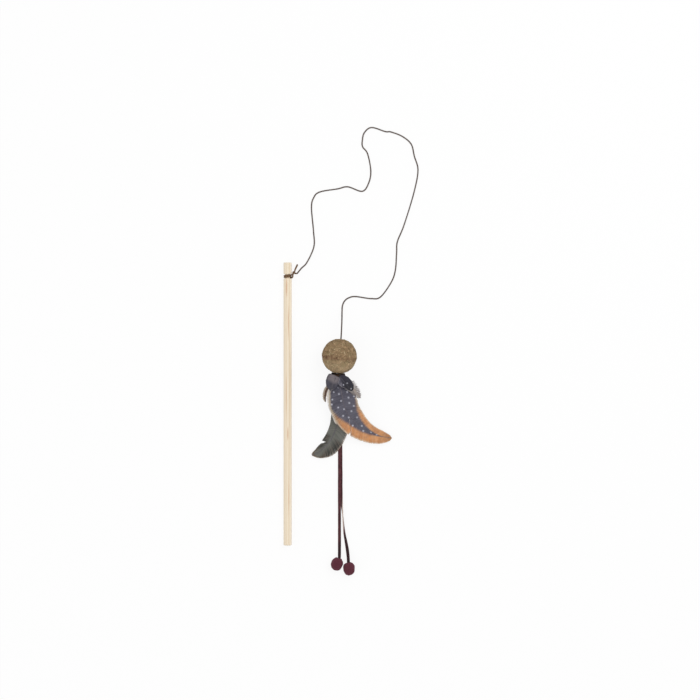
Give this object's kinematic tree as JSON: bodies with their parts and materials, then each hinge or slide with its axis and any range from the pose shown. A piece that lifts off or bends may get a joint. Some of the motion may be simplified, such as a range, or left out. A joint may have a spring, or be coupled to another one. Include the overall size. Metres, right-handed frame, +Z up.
{
  "type": "cat teaser wand",
  "caption": "Cat teaser wand: wooden stick, knotted cord, and a lure of a pressed fibre ball, feathers and suede laces with felt balls, laid flat.",
  "frame": {"origin": "the middle of the toy's footprint, without its cord and laces, on the table that it lies on", "axes": "+Z up from the table, +Y along the stick towards its tied tip, +X from the stick towards the lure"},
  "size_m": [0.1675, 0.5558, 0.0429],
  "materials": {
    "wood": "sanded pine, bare",
    "cord_dark": "waxed cotton cord pulled tight",
    "cord": "thin waxed cotton cord",
    "pressed_fibre": "pressed plant fibre, matt and flaky",
    "glue": "dark glue",
    "thread": "dark binding thread",
    "slate_feather": "feather vane, slate with tan margins and pale dots",
    "brown_feather": "feather vane, brown",
    "buff_feather": "feather vane, pale buff",
    "green_feather": "feather vane, green-grey",
    "down": "loose pale down",
    "suede": "burgundy suede",
    "felt": "burgundy wool felt, fuzzy"
  },
  "bodies": {
    "wand": {"stick": "wood", "cord_tie": "cord_dark"},
    "cord": {"cord": "cord"},
    "cord_end": {"cord_end": "cord", "stopper_knot": "cord"},
    "ball": {"pressed_ball": "pressed_fibre"},
    "feathers": {"quill_core": "glue", "thread_binding": "thread", "feather_spotted_main": "slate_feather", "feather_spotted_covert": "slate_feather", "feather_grey_covert": "slate_feather", "feather_brown_covert": "brown_feather", "feather_buff_covert": "buff_feather", "feather_green_long": "green_feather", "down_tuft": "down", "lace_fold": "suede"},
    "lace_left": {"lace_left": "suede", "felt_ball_left": "felt"},
    "lace_right": {"lace_right": "suede", "felt_ball_right": "felt"}
  },
  "joints": [
    {"name": "cord_swing", "type": "hinge", "parent": "wand", "child": "cord", "pos_m": [-0.05017, 0.18057, 0.0035], "axis": [0, 0, 1], "range_deg": [0, 40]},
    {"name": "lure_swing", "type": "hinge", "parent": "cord", "child": "cord_end", "pos_m": [0.00405, 0.09937, 0.02145], "axis": [0, 0, 1], "range_deg": [-5, 60]},
    {"name": "ball_spin", "type": "hinge", "parent": "cord_end", "child": "ball", "pos_m": [0.0022, 0.0782, 0.02145], "axis": [0.0872, 0.9962, 0], "continuous": true},
    {"name": "feathers_lift", "type": "hinge", "parent": "cord_end", "child": "feathers", "pos_m": [0.00012, 0.05444, 0.02145], "axis": [-1, 0, 0], "range_deg": [0, 20]},
    {"name": "lace_left_swing", "type": "hinge", "parent": "feathers", "child": "lace_left", "pos_m": [0.00012, 0.04679, 0.02145], "axis": [0, 0, 1], "range_deg": [-4, 0]},
    {"name": "lace_right_swing", "type": "hinge", "parent": "feathers", "child": "lace_right", "pos_m": [0.00012, 0.04679, 0.02145], "axis": [0, 0, 1], "range_deg": [0, 25]}
  ]
}
